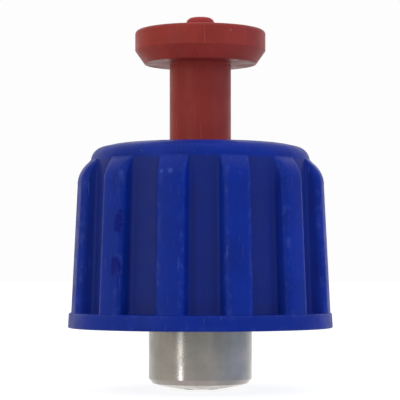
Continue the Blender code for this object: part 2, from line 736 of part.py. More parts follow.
def poppet_screw():
    head_top_z = poppet_low_z - GAP
    head_low_z = head_top_z - SCREW_HEAD
    tip_z = rod_end_z + SCREW_GRIP - GAP
    outline = [
        (0, head_low_z),
        (SCREW_HEAD_R - GAP, head_low_z),
        (SCREW_HEAD_R, head_low_z + GAP),
        (SCREW_HEAD_R, head_top_z),
        (SCREW_R, head_top_z),
        (SCREW_R, tip_z - SCREW_R),
        (0, tip_z),
    ]
    screw = turned("poppet_screw", outline, material("screw_steel", (0.55, 0.55, 0.56), 0.3, 1.0), 16)
    slot = box_form((-2 * SCREW_HEAD_R, -GAP, head_low_z - GAP), (2 * SCREW_HEAD_R, GAP, head_low_z + GAP))
    combine(screw, cutter("poppet_screw_slot", [slot]), "DIFFERENCE")
    return screw


def filter_screen():
    """A thin disc with a field of small holes on a triangular pitch."""
    screen_r = inlet_bore_r - GAP
    top_z = screen_low_z + SCREEN_THICKNESS
    steel = material("screen_steel", (0.5, 0.5, 0.5), 0.35, 1.0)
    screen = turned("filter_screen", rod(screen_r, screen_low_z, top_z), steel, ROUND_SMALL)
    field_r = screen_r - SNAP_RING_WIDTH - 2 * SCREEN_HOLE_R
    rows = math.ceil(field_r / SCREEN_PITCH) + 1
    grid = [(i, j) for i in range(-2 * rows, 2 * rows + 1) for j in range(-rows, rows + 1)]
    places = [(SCREEN_PITCH * (i + j / 2), SCREEN_PITCH * j * math.sin(math.pi / 3)) for i, j in grid]
    places = [place_xy for place_xy in places if math.hypot(*place_xy) <= field_r]
    drills = holes_at(SCREEN_HOLE_R, places, screen_low_z - GAP, top_z + GAP, 6)
    combine(screen, cutter("filter_screen_holes", drills), "DIFFERENCE")
    return screen


def screen_ring():
    outer_r = inlet_bore_r - GAP / 3
    return snap_ring("screen_ring", outer_r - SNAP_RING_WIDTH, outer_r, screen_ring_low_z, CLIP_OPENING / 2)


def main():
    clear_scene()
    screw_cap()
    flush_plunger()
    drip_nozzle()
    retaining_clip()
    return_spring()
    valve_sleeve()
    bonnet()
    guide_bush()
    o_ring("stem_o_ring", STEM_R + O_RING_PLAY, O_RING_CORD_R, stem_ring_z)
    o_ring("bonnet_o_ring", neck_r + O_RING_PLAY, SMALL_CORD_R, collar_top_z + GAP + SMALL_CORD_R)
    slip_washer()
    riser_gasket()
    valve_seat()
    seat_o_ring()
    labyrinth_core()
    diaphragm()
    stack_clip()
    poppet()
    poppet_seal()
    poppet_screw()
    filter_screen()
    screen_ring()


main()
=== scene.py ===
"""Looks of the push-button drip emitter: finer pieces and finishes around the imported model."""

import json
import math

import bmesh
import bpy
from mathutils import Matrix, Vector


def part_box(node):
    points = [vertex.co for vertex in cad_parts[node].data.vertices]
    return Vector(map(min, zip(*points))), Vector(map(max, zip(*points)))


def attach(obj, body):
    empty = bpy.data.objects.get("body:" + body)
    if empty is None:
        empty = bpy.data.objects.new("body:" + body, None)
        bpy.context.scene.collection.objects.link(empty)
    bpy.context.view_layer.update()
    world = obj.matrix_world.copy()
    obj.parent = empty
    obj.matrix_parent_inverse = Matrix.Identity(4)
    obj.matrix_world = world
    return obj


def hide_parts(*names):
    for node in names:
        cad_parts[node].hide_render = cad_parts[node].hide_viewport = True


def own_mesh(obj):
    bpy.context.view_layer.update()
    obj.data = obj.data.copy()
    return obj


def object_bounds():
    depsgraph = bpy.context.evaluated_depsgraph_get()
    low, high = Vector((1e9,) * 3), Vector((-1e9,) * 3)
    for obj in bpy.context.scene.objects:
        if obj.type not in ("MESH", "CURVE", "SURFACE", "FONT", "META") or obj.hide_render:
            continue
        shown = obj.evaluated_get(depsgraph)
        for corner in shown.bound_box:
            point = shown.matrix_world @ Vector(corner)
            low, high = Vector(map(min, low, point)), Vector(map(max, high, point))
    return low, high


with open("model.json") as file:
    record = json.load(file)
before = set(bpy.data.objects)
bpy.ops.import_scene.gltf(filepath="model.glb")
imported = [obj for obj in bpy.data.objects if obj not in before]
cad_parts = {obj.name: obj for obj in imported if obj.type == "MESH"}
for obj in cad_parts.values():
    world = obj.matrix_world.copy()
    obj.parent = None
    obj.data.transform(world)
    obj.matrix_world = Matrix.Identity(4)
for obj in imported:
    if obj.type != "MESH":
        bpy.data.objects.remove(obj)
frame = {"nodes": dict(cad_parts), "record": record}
cad_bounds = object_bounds()

MM = 0.001
SIDES = 128  # sides of a turned piece that shows
SIDES_INSIDE = 72  # sides of a turned piece inside the cap
SHARP_ANGLE = math.radians(38)
ROUND_STEPS = 8  # steps of a quarter round that shows
SMALLEST_EDGE = 0.002 * MM
STRAIGHT = math.radians(165)  # a corner flatter than this stays as it is
CORNER_SHARE = 0.45  # how much of a stretch the round at one of its ends may take
NORMAL_WEIGHT = 60
DRILL_SIDES = 32
CORD_SIDES = 20

# Camera and light
EYE_DISTANCE = 270.3 * MM
EYE_HEIGHT = -2.95 * MM
EYE_SWING = math.radians(1.8)  # from the front groove's middle towards -X
EYE_ASIDE = -0.05 * MM
EYE_PITCH = math.radians(92.37)
LENS = 157.5
SENSOR = 36.0
FLOOR_REACH = 2.9
FLOOR_GLOW = 0.85
BACKDROP_R = 3.0
BACKDROP_GLOW = 0.982
ROOM_LIGHT = {
    "left": (0.64, 0.59, 0.54),
    "right": (0.46, 0.5, 0.62),
    "front": (0.5, 0.49, 0.48),
    "back": (1.05, 1.03, 1.0),
    "up": (0.9, 0.9, 0.94),
    "down": (0.68, 0.62, 0.64),
}
KEY_PLACE = (-0.42, -0.4, 0.2)
KEY_SIZE = (0.055, 0.8)
KEY_WATTS = 0.66
FILL_PLACE = (0.5, -0.3, 0.1)
FILL_SIZE = (0.4, 0.4)
FILL_WATTS = 0.9
FILL_COLOR = (0.45, 0.68, 1.0)

# Colours
BLUE = (0.002, 0.026, 0.31)
BLUE_WORN = (0.1, 0.16, 0.55)
# painted shade on the grooves' floors and the ribs' sides
BLUE_GROOVE_SHADE = (0.012, 0.026, 0.2)
BLUE_SCUFF = (0.001, 0.006, 0.19)
# painted highlight for the cap's dents
BLUE_DENT_GLINT = (0.07, 0.13, 0.62)
RED = (0.345, 0.038, 0.029)
RED_NOZZLE = (0.43, 0.036, 0.034)
RED_WORN = (0.6, 0.16, 0.13)
RED_DENT = (0.42, 0.11, 0.09)
SLEEVE = (0.54, 0.505, 0.475)
SLEEVE_DULL = (0.4, 0.41, 0.385)
# painted shade on the sleeve just under the cap
SLEEVE_CAP_SHADE = (0.26, 0.28, 0.25)
STEEL = (0.5, 0.5, 0.5)
STEEL_DULL = (0.38, 0.38, 0.39)
BRASS = (0.6, 0.42, 0.17)
BRASS_DULL = (0.42, 0.29, 0.13)
BLACK = (0.03, 0.03, 0.033)
BLACK_WORN = (0.12, 0.12, 0.12)
WHITE = (0.68, 0.67, 0.63)
WHITE_WORN = (0.5, 0.49, 0.46)
RUBBER = (0.018, 0.018, 0.019)
SILICONE = (0.6, 0.6, 0.57)
FLOOR_DARK = (0.34, 0.34, 0.34)
FLOOR_LIGHT = (0.36, 0.36, 0.36)
FLOOR_CLOUD = 0.4

# Screw cap
MOUTH_R = 13.52 * MM
FLANGE_R = 20.37 * MM
FLANGE_DRAFT = 0.12 * MM
FLANGE_HEIGHT = 2.32 * MM
FLANGE_EDGE = 0.25 * MM
RIM_STEPS = 4
RIM_WEAR = 0.5
LEDGE_ROUND = 0.3 * MM
LEDGE_ROOM = 0.45 * MM  # from the flange's rim to where the round is whole
LEDGE_STEPS = 4
WALL_LOW_R = 17.61 * MM
WALL_HIGH_R = 16.91 * MM
WALL_ROWS = 16
SHOULDER_ROUND = 2.2 * MM
SHOULDER_STEPS = 16
CROWN_DROP = 0.3 * MM
CROWN_R = 13.2 * MM
TOP_WALL = 3.0 * MM
HOLE_R = 7.75 * MM
HOLE_ROUND = 0.3 * MM
RIB_COUNT = 12
RIB_HALF_WIDTH = 2.2 * MM
RIB_LOW_R = 20.12 * MM
RIB_HIGH_R = 19.17 * MM
RIB_TOP_ROUND = 3.9 * MM
RIB_BLEND = 0.4 * MM  # how softly the ribs rise out of the wall under the shoulder
RIB_DROP = 3.75 * MM  # from the shoulder's edge down to where the ribs' round tops begin
RIB_EDGE = 1.15 * MM
RIB_EDGE_SHARE = 0.6  # the most of a rib's height that its edge's round takes
RIB_EDGE_STEPS = 8
RIB_ROOT = 0.55 * MM
RIB_ROOT_SHARE = 0.3  # the same for the round at its foot
RIB_ROOT_STEPS = 4
GROOVE_STEPS = 5
SIDE_SHADE = 0.3  # how much of the grooves' painted shade a rib's side has
ROOT_SHADE = 0.5  # and the round at its foot, next to the side
RIB_DRAFT = 0.06 * MM  # how much wider a rib's side is at its foot
RIB_LEAST = 0.6 * MM  # a rib lower than this keeps the spacing of one this high
RIB_TOP_ROWS = 28
CHAMBER_R = 10.7 * MM
LEDGE_Z = 5.3 * MM
COLLAR_BORE_R = 12.3 * MM
COLLAR_LOW_Z = 2.1 * MM
GASKET_GROOVE_R = 13.52 * MM
THREAD_TOP_Z = -0.907 * MM
THREAD_MINOR_R = 12.06 * MM
THREAD_MAJOR_R = 13.22 * MM
THREAD_PITCH = 1.814 * MM
THREAD_ROOT = 0.3 * MM
THREAD_HALF_ANGLE = math.radians(27.5)
THREAD_ROWS = 52
MOUTH_BEVEL = 1.44 * MM

# Button, stem and nozzle
STEM_R = 4.75 * MM
ROD_R = 2.6 * MM
STEM_SHOULDER_Z = 9.59 * MM
CLIP_GROOVE_R = 3.95 * MM
CLIP_GROOVE_LOW_Z = 10.69 * MM
CLIP_GROOVE_TOP_Z = 11.69 * MM
BUTTON_LOW_Z = 29.28 * MM
BUTTON_TOP_Z = 34.47 * MM
BUTTON_UNDER_R = 8.65 * MM
BUTTON_R = 10.1 * MM
BUTTON_CHAMFER_Z = 31.34 * MM
BUTTON_EDGE = 0.6 * MM
BUTTON_SOFT = 0.18 * MM
RECESS_R = 2.3 * MM
RECESS_DEPTH = 0.8 * MM
SOCKET_R = 1.72 * MM
SOCKET_DEPTH = 3.1 * MM
WATERWAY_R = 1.1 * MM
WATERWAY_LOW_Z = 6.29 * MM
PILOT_R = 1.0 * MM
PILOT_DEPTH = 4.8 * MM
PORT_R = 0.8 * MM
PORT_Z = 7.39 * MM
NOZZLE_R = 2.21 * MM
NOZZLE_CROWN = 0.97 * MM
NOZZLE_FOOT = 0.5 * MM
NOZZLE_SOFT = 0.1 * MM
SPIGOT_R = 1.6 * MM
SPIGOT_DEPTH = 2.8 * MM
NOZZLE_BORE_R = 0.8 * MM
ORIFICE_R = 0.35 * MM

# Sleeve
SLEEVE_R = 8.0 * MM
SLEEVE_TIP_R = 7.94 * MM
SLEEVE_RIM_R = 7.34 * MM
SLEEVE_RIM_RISE = 1.06 * MM
SLEEVE_CHAMFER_RISE = 1.81 * MM
SLEEVE_SOFT = 0.15 * MM
DOME_STEPS = 20
COLLAR_R = 12.0 * MM
COLLAR_TOP_Z = 4.1 * MM
NECK_R = 8.3 * MM
NECK_TOP_Z = 8.0 * MM
BORE_R = 6.8 * MM
INLET_R = 6.2 * MM
STEP_Z = -7.6 * MM
DOME_WALL = 1.8 * MM
STRAINER_HOLE_R = 0.8 * MM
STRAINER_RING_R = 3.7 * MM
STRAINER_COUNT = 6
STACK_GROOVE_R = 7.17 * MM
STACK_GROOVE = (-0.15 * MM, 1.1 * MM)

# Bonnet, bush and gasket
BONNET_R = 10.4 * MM
BONNET_LOW_Z = 4.4 * MM
BONNET_SHOULDER_Z = 13.34 * MM
BONNET_NECK_R = 7.65 * MM
BONNET_BORE_R = 6.35 * MM
BONNET_FLAT_R = 9.5 * MM
LIP_BORE_R = 4.83 * MM
LIP_Z = (11.89 * MM, 12.64 * MM)
SPRING_CHAMBER_R = 6.9 * MM
SKIRT_R = 8.6 * MM
SEAL_BORE_R = 9.5 * MM
SEAL_TOP_Z = 5.7 * MM
BONNET_GAP = 0.3 * MM  # over the top of the sleeve's neck
BONNET_SOFT = 0.12 * MM
HEX_STEP = 0.01 * MM  # height in which the round skirt turns into flats
BUSH_SOFT = 0.25 * MM
GASKET_GAP = 0.35 * MM
GASKET_SOFT = 0.2 * MM

# Return spring
SPRING_R = 3.6 * MM
WIRE_R = 0.3 * MM
SPRING_TURNS = 9
CLOSED_PITCH = 0.72 * MM
SPRING_STEPS = 40
WIRE_SIDES = 14

# Marks of use, and the cap's dents painted as glints: angle in degrees from the front groove's middle,
# radius, height, half width, half height
CAP_SCUFFS = (
    (-40.5, 19.0 * MM, 4.4 * MM, 0.75 * MM, 1.9 * MM),
    (-41.5, 19.2 * MM, -2.4 * MM, 0.9 * MM, 2.2 * MM),
)
# dents on the cap, painted as lighter spots: painted highlights where the dents catch the light
CAP_DENT_GLINTS = (
    (-19.3, 19.0 * MM, 11.7 * MM, 0.35 * MM, 0.4 * MM),
    (-15.0, 19.0 * MM, 11.8 * MM, 0.4 * MM, 0.5 * MM),
    (-75.0, 19.8 * MM, -0.8 * MM, 0.5 * MM, 0.3 * MM),
)
BUTTON_DENTS = (
    (25.0, 10.1 * MM, 33.4 * MM, 0.3 * MM, 0.25 * MM),
    (61.0, 4.75 * MM, 28.6 * MM, 0.3 * MM, 0.3 * MM),
)
MARK_FADE = 0.25  # how much of a mark's half width is its soft edge
# heights over which the sleeve's painted shade under the cap fades out
CAP_SHADE_Z = (-15.5 * MM, -12.0 * MM)


# --- mesh helpers --------------------------------------------------------------------------


def arc(centre_r, centre_z, radius, start_deg, end_deg, steps):
    """Points (r, z) along a round stretch of an outline, both ends included."""
    angles = (math.radians(start_deg + (end_deg - start_deg) * i / steps) for i in range(steps + 1))
    return [(centre_r + radius * math.cos(a), centre_z + radius * math.sin(a)) for a in angles]


def softened(outline, edge, steps=4):
    """The outline (r, z) with its corners rounded to the radius edge. Points on the axis stay."""
    corners = [Vector(p) for p in outline]
    count = len(corners)
    points = []
    for i, corner in enumerate(corners):
        before = corners[i - 1] - corner
        after = corners[(i + 1) % count] - corner
        turn = before.angle(after)
        if corner.x == 0 or turn > STRAIGHT:
            points.append(tuple(corner))
            continue
        reach = min(edge / math.tan(turn / 2), CORNER_SHARE * before.length, CORNER_SHARE * after.length)
        start = corner + before.normalized() * reach
        end = corner + after.normalized() * reach
        middle = (start + end) / 2
        radius = reach * math.tan(turn / 2)
        centre = corner + (middle - corner).normalized() * radius / math.sin(turn / 2)
        spread = (start - centre).angle_signed(end - centre)
        for k in range(steps + 1):
            spoke = (start - centre).copy()
            spoke.rotate(Matrix.Rotation(-spread * k / steps, 2))
            points.append(tuple(centre + spoke))
    return points


def circle_row(radius, z, angles):
    """A row of points around the axis, or the one point where it meets the axis."""
    if radius == 0:
        return [(0, 0, z)]
    return [(radius * math.cos(a), radius * math.sin(a), z) for a in angles]


def skin(rows):
    """Vertices and faces of the closed surface that passes through the rows in turn."""
    starts = []
    vertices = []
    for row in rows:
        starts.append(len(vertices))
        vertices.extend(row)
    width = max(len(row) for row in rows)
    pairs = list(zip(range(len(rows)), range(1, len(rows))))
    if len(rows[0]) > 1:
        pairs.append((len(rows) - 1, 0))
    faces = []
    for low, high in pairs:
        for j in range(width):
            ends = [(low, j), (low, j + 1), (high, j + 1), (high, j)]
            corners = [starts[row] + column % len(rows[row]) for row, column in ends]
            faces.append(tuple(dict.fromkeys(corners)))
    return vertices, faces


def piece(name, vertices, faces, finish):
    mesh = bpy.data.meshes.new(name)
    mesh.from_pydata(vertices, [], faces)
    form = bmesh.new()
    form.from_mesh(mesh)
    bmesh.ops.recalc_face_normals(form, faces=form.faces)
    form.to_mesh(mesh)
    form.free()
    mesh.shade_smooth()
    mesh.set_sharp_from_angle(angle=SHARP_ANGLE)
    mesh.materials.append(finish)
    thing = bpy.data.objects.new(name, mesh)
    bpy.context.scene.collection.objects.link(thing)
    return thing


def weigh_normals(thing):
    """Flat faces keep their own direction, and the narrow rounds beside them take the bend."""
    step = thing.modifiers.new("normals", "WEIGHTED_NORMAL")
    step.keep_sharp = True
    step.weight = NORMAL_WEIGHT


def turned(name, outline, finish, sides=SIDES):
    angles = [2 * math.pi * i / sides for i in range(sides)]
    return piece(name, *skin([circle_row(r, z, angles) for r, z in outline]), finish)


def bore(thing, name, drills):
    """Cuts the drills (centre, direction, radius, half length) out of the thing."""
    form = bmesh.new()
    for centre, direction, radius, half in drills:
        turn = Vector((0, 0, 1)).rotation_difference(Vector(direction)).to_matrix().to_4x4()
        turn.translation = Vector(centre)
        bmesh.ops.create_cone(
            form,
            cap_ends=True,
            segments=DRILL_SIDES,
            radius1=radius,
            radius2=radius,
            depth=2 * half,
            matrix=turn,
        )
    mesh = bpy.data.meshes.new(name)
    form.to_mesh(mesh)
    form.free()
    guide = bpy.data.objects.new(name, mesh)
    bpy.context.scene.collection.objects.link(guide)
    cut = thing.modifiers.new(name, "BOOLEAN")
    cut.operation = "DIFFERENCE"
    cut.object = guide
    cut.solver = "EXACT"
    bpy.context.view_layer.update()
    whole = bpy.data.meshes.new_from_object(thing.evaluated_get(bpy.context.evaluated_depsgraph_get()))
    form = bmesh.new()
    form.from_mesh(whole)
    bmesh.ops.dissolve_degenerate(form, dist=SMALLEST_EDGE, edges=form.edges)
    form.to_mesh(whole)
    form.free()
    thing.modifiers.clear()
    thing.data = whole
    bpy.data.objects.remove(guide)


def fit(thing, body, node):
    """The finished piece takes its place on the body and stands for the node."""
    weigh_normals(thing)
    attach(thing, body)
    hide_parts(node)


# --- finishes ------------------------------------------------------------------------------


class Finish:
    """A node material with its shader, and shorthand for the textures that feed it."""

    def __init__(self, name, roughness, metallic=0.0):
        self.material = bpy.data.materials.new(name)
        self.material.use_nodes = True
        self.tree = self.material.node_tree
        self.shader = self.tree.nodes["Principled BSDF"]
        self.shader.inputs["Roughness"].default_value = roughness
        self.shader.inputs["Metallic"].default_value = metallic
        self.place = self.tree.nodes.new("ShaderNodeTexCoord").outputs["Object"]

    def node(self, kind, inputs=(), **settings):
        made = self.tree.nodes.new(kind)
        for key, value in settings.items():
            setattr(made, key, value)
        for key, value in dict(inputs).items():
            if isinstance(value, bpy.types.NodeSocket):
                self.tree.links.new(value, made.inputs[key])
            else:
                made.inputs[key].default_value = value
        return made

    def stretched(self, scale, turn=(0, 0, 0)):
        """The place on the object, with each axis scaled, so that a pattern is drawn out."""
        inputs = {"Vector": self.place, "Scale": scale, "Rotation": turn}
        return self.node("ShaderNodeMapping", inputs).outputs["Vector"]

    def noise(self, size, detail=3.0, roughness=0.55, place=None):
        """Noise with features of about this size in metres, from 0 to 1."""
        inputs = {
            "Vector": place or self.place,
            "Scale": 1 / size,
            "Detail": detail,
            "Roughness": roughness,
        }
        return self.node("ShaderNodeTexNoise", inputs).outputs["Fac"]

    def span(self, value, low, high, to_low=0.0, to_high=1.0):
        """The value between low and high, spread over another range and held inside it."""
        inputs = {0: value, 1: low, 2: high, 3: to_low, 4: to_high}
        return self.node("ShaderNodeMapRange", inputs, interpolation_type="SMOOTHSTEP").outputs[0]

    def calc(self, operation, first, second=0.0):
        return self.node("ShaderNodeMath", {0: first, 1: second}, operation=operation).outputs[0]

    def mix(self, share, first, second):
        """Between two colours, by a share from 0 to 1."""
        first, second = ((*c, 1.0) if isinstance(c, tuple) else c for c in (first, second))
        # the node keeps its sockets for colours after those for numbers and vectors
        inputs = {0: share, 6: first, 7: second}
        return self.node("ShaderNodeMix", inputs, data_type="RGBA").outputs[2]

    def mark(self, ragged, angle_deg, radius, z, half_width, half_height):
        """1 in the middle of a mark on a round wall, falling to 0 at its edge, more or less ragged."""
        angle = math.radians(angle_deg - 90)
        centre = Vector((radius * math.cos(angle), radius * math.sin(angle), z))
        shift = self.node("ShaderNodeVectorMath", {0: self.place, 1: centre}, operation="SUBTRACT")
        shrink = (1 / half_width, 1 / half_width, 1 / half_height)
        scaled = self.node("ShaderNodeVectorMath", {0: shift.outputs[0], 1: shrink}, operation="MULTIPLY")
        far = self.node("ShaderNodeVectorMath", {0: scaled.outputs[0]}, operation="LENGTH")
        edge = self.calc("MULTIPLY", self.noise(half_width, 5.0, 0.75), ragged)
        reach = 1.0 + ragged / 2
        return self.span(self.calc("ADD", far.outputs["Value"], edge), reach - MARK_FADE, reach, 1.0, 0.0)

    def marks(self, places, ragged):
        """All the marks of one kind."""
        found = [self.mark(ragged, *place) for place in places]
        whole = found[0]
        for other in found[1:]:
            whole = self.calc("MAXIMUM", whole, other)
        return whole

    def color(self, socket):
        self.tree.links.new(socket, self.shader.inputs["Base Color"])

    def rough(self, socket):
        self.tree.links.new(socket, self.shader.inputs["Roughness"])

    def bump(self, layers):
        """Height layers (socket, height in metres), one on the other."""
        normal = None
        for height, distance in layers:
            inputs = {"Height": height, "Distance": distance, "Strength": 1.0}
            if normal is not None:
                inputs["Normal"] = normal
            normal = self.node("ShaderNodeBump", inputs).outputs["Normal"]
        self.tree.links.new(normal, self.shader.inputs["Normal"])


def shade(color, factor):
    return tuple(c * factor for c in color)


def moulded(name, color, roughness, worn, grain=0.25 * MM, height=0.004 * MM):
    """Moulded plastic: cloudy colour, flow streaks, fine scratches and a faint grain."""
    f = Finish(name, roughness)
    clouds = f.span(f.noise(6 * MM, 4.0), 0.3, 0.7)
    streaks = f.span(f.noise(0.8 * MM, 3.0, 0.6, f.stretched((1, 1, 0.08))), 0.35, 0.75)
    scratch_place = f.stretched((1, 1, 0.05), (0.5, 0.3, 0))
    scratches = f.span(f.noise(0.25 * MM, 2.0, 0.5, scratch_place), 0.66, 0.76)
    base = f.mix(clouds, shade(color, 0.88), shade(color, 1.12))
    base = f.mix(f.calc("MULTIPLY", streaks, 0.25), base, shade(color, 0.75))
    base = f.mix(f.calc("MULTIPLY", scratches, 0.35), base, worn)
    f.color(base)
    gloss = f.span(f.noise(2.5 * MM, 5.0), 0.3, 0.7, roughness - 0.06, roughness + 0.08)
    f.rough(f.calc("ADD", gloss, f.calc("MULTIPLY", scratches, 0.15)))
    f.bump([(f.noise(grain, 3.0), height), (clouds, 0.012 * MM), (scratches, -0.006 * MM)])
    return f, base, gloss


def blue_plastic():
    """The cap's plastic: painted shade in the grooves and on the ribs' sides, rubbed edges, scuffs, and dents
    painted lighter as glints.
    """
    f, base, gloss = moulded("blue_plastic_worn", BLUE, 0.42, BLUE_WORN)
    scuff = f.marks(CAP_SCUFFS, 2.2)
    dents_and_glints = f.marks(CAP_DENT_GLINTS, 0.6)
    edges = f.node("ShaderNodeAttribute", attribute_name="worn_edge").outputs["Fac"]
    groove_shade_mask = f.node("ShaderNodeAttribute", attribute_name="painted_groove_shade").outputs["Fac"]
    # painted shade: the grooves' floors and the ribs' sides darkened, patchy with noise
    groove_shade = f.span(f.noise(4 * MM, 5.0, 0.6), 0.25, 0.75, 0.6, 0.95)
    base = f.mix(f.calc("MULTIPLY", groove_shade_mask, groove_shade), base, BLUE_GROOVE_SHADE)
    rubbed = f.calc("MULTIPLY", edges, f.span(f.noise(1.6 * MM, 5.0, 0.65), 0.45, 0.8, 0.0, 0.35))
    base = f.mix(rubbed, base, BLUE_WORN)
    base = f.mix(f.calc("MULTIPLY", scuff, 0.75), base, BLUE_SCUFF)
    # the dents painted lighter: painted highlights
    base = f.mix(f.calc("MULTIPLY", dents_and_glints, 0.4), base, BLUE_DENT_GLINT)
    f.color(base)
    f.shader.inputs["Specular IOR Level"].default_value = 0.15
    f.rough(f.calc("ADD", gloss, f.calc("MULTIPLY", scuff, 0.2)))
    return f.material


def red_plastic(name, color):
    """The button's plastic, with a few dents."""
    f, base, _ = moulded(name, color, 0.42, RED_WORN)
    dents_and_glints = f.marks(BUTTON_DENTS, 0.5)
    f.color(f.mix(f.calc("MULTIPLY", dents_and_glints, 0.5), base, RED_DENT))
    f.shader.inputs["Specular IOR Level"].default_value = 0.2
    return f.material


def metal(name, color, dull, roughness, drawn=(1, 1, 0.04), size=0.5 * MM):
    """Bare metal with marks drawn out along one way, dull patches and a slight waviness."""
    f = Finish(name, roughness, 1.0)
    lines = f.noise(size, 4.0, 0.65, f.stretched(drawn))
    patches = f.span(f.noise(5 * MM, 4.0, 0.6), 0.35, 0.7)
    base = f.mix(patches, color, dull)
    base = f.mix(f.span(lines, 0.3, 0.7, 0.0, 0.35), base, shade(color, 0.7))
    f.color(base)
    gloss = f.span(lines, 0.25, 0.75, roughness - 0.07, roughness + 0.1)
    f.rough(f.calc("ADD", gloss, f.calc("MULTIPLY", patches, 0.08)))
    f.bump([(lines, 0.004 * MM), (f.noise(1.2 * MM, 3.0), 0.016 * MM)])
    return f, base


def sleeve_metal():
    """The sleeve, with a greenish painted shade that fades away below the cap's mouth."""
    f, base = metal("sleeve_metal_drawn", SLEEVE, SLEEVE_DULL, 0.19, (1, 1, 0.2), 2.2 * MM)
    height = f.node("ShaderNodeSeparateXYZ", {"Vector": f.place}).outputs["Z"]
    ragged = f.calc("ADD", height, f.calc("MULTIPLY", f.noise(3 * MM, 4.0), 2 * MM))
    # painted shade: darker and greener towards the cap's mouth, with a ragged edge
    cap_shade = f.span(ragged, *CAP_SHADE_Z, 0.0, 0.5)
    f.color(f.mix(cap_shade, base, SLEEVE_CAP_SHADE))
    return f.material


def spring_steel():
    f, _ = metal("spring_steel_drawn", STEEL, STEEL_DULL, 0.28)
    return f.material


def brass():
    f, _ = metal("brass_turned", BRASS, BRASS_DULL, 0.3, (0.1, 0.1, 1), 0.3 * MM)
    return f.material


def plastic(name, color, roughness, worn):
    return moulded(name, color, roughness, worn)[0].material


def rubber(name, color):
    """Rubber: cloudy, with a pale bloom in places."""
    f = Finish(name, 0.7)
    clouds = f.noise(3 * MM, 4.0)
    bloom = f.span(f.noise(1.2 * MM, 5.0, 0.7), 0.5, 0.8, 0.0, 0.5)
    f.color(f.mix(bloom, f.mix(clouds, shade(color, 0.8), shade(color, 1.2)), shade(color, 2.5)))
    f.rough(f.span(clouds, 0.3, 0.7, 0.6, 0.85))
    f.bump([(f.noise(0.2 * MM, 3.0), 0.006 * MM)])
    return f.material


finishes = {
    "blue_plastic": blue_plastic(),
    "red_plastic": red_plastic("red_plastic_moulded", RED),
    "red_nozzle": red_plastic("red_plastic_nozzle", RED_NOZZLE),
    "sleeve_metal": sleeve_metal(),
    "spring_steel": spring_steel(),
    "brass": brass(),
    "black_plastic": plastic("black_plastic_moulded", BLACK, 0.45, BLACK_WORN),
    "white_plastic": plastic("white_plastic_moulded", WHITE, 0.38, WHITE_WORN),
    "black_rubber": rubber("black_rubber_moulded", RUBBER),
    "silicone": rubber("silicone_milky", SILICONE),
}


# --- screw cap -----------------------------------------------------------------------------

cap_low, cap_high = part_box("screw_cap")
mouth_z = cap_low.z
cap_top_z = cap_high.z
flange_top_z = mouth_z + FLANGE_HEIGHT
shoulder_z = cap_top_z - CROWN_DROP - SHOULDER_ROUND
rib_round_z = shoulder_z - RIB_DROP


def wall_r(z):
    """Radius of the grooves' floor at a height, up to the shoulder."""
    share = (z - flange_top_z) / (shoulder_z - flange_top_z)
    return WALL_LOW_R + (WALL_HIGH_R - WALL_LOW_R) * share


def rib_height(z):
    """How far the ribs' faces stand over the grooves' floor, below their round tops."""
    share = (z - flange_top_z) / (rib_round_z - flange_top_z)
    return RIB_LOW_R + (RIB_HIGH_R - RIB_LOW_R) * share - wall_r(z)


def half_section(floor_r, height):
    """From a rib's middle to a groove's middle: (height above the floor, sideways, wear, painted shade).

    Wear is 1 at the middle of the rib's rounded edge, and the painted shade is 1 on the groove's floor.
    """
    drawn = max(height, RIB_LEAST)
    top_r = floor_r + drawn
    edge = min(RIB_EDGE, RIB_EDGE_SHARE * drawn)
    root = min(RIB_ROOT, RIB_ROOT_SHARE * drawn)
    y_edge = RIB_HALF_WIDTH - edge
    x_edge = math.sqrt((top_r - edge) ** 2 - y_edge**2)
    y_root = RIB_HALF_WIDTH + RIB_DRAFT + root
    x_root = math.sqrt((floor_r + root) ** 2 - y_root**2)
    edge_start = math.atan2(y_edge, x_edge)
    root_end = math.atan2(y_root, x_root)
    points = [(top_r * math.cos(a), top_r * math.sin(a), 0, 0) for a in (0, edge_start / 2)]
    for k in range(RIB_EDGE_STEPS + 1):
        a = edge_start + (math.pi / 2 - edge_start) * k / RIB_EDGE_STEPS
        rubbed = math.sin(math.pi * k / RIB_EDGE_STEPS)
        points.append((x_edge + edge * math.cos(a), y_edge + edge * math.sin(a), rubbed, 0))
    points.append(((x_edge + x_root) / 2, RIB_HALF_WIDTH + RIB_DRAFT / 2, 0, SIDE_SHADE))
    for k in range(RIB_ROOT_STEPS + 1):
        a = -math.pi / 2 + (root_end - math.pi / 2) * k / RIB_ROOT_STEPS
        # the painted shade grows over the round at the rib's foot, up to full on the groove's floor
        groove_shade = ROOT_SHADE + (1 - ROOT_SHADE) * k / RIB_ROOT_STEPS
        points.append((x_root + root * math.cos(a), y_root + root * math.sin(a), 0, groove_shade))
    groove_middle = math.pi / RIB_COUNT
    for k in range(1, GROOVE_STEPS + 1):
        a = root_end + (groove_middle - root_end) * k / GROOVE_STEPS
        points.append((floor_r * math.cos(a), floor_r * math.sin(a), 0, 1))
    share = min(height / drawn, 1.0)
    return [((math.hypot(x, y) - floor_r) * share, y, wear * share, groove_shade) for x, y, wear, groove_shade in points]


def full_section(floor_r, height, tilt=0.0):
    """The whole way around, rib by rib: (radius, angle, lift, wear, painted shade).

    A tilted section leans back over the ribs' round tops, and lift is its height over its foot.
    """
    half = []
    for up, y, wear, groove_shade in half_section(floor_r, height):
        radius = floor_r + up * math.cos(tilt)
        half.append((radius, math.asin(y / radius), up * math.sin(tilt), wear, groove_shade))
    period = [(r, -a, *rest) for r, a, *rest in reversed(half[1:-1])] + half
    step = 2 * math.pi / RIB_COUNT
    # the middle of the front groove faces -Y
    first = -math.pi / 2 + step / 2
    return [(r, first + step * i + a, *rest) for i in range(RIB_COUNT) for r, a, *rest in period]


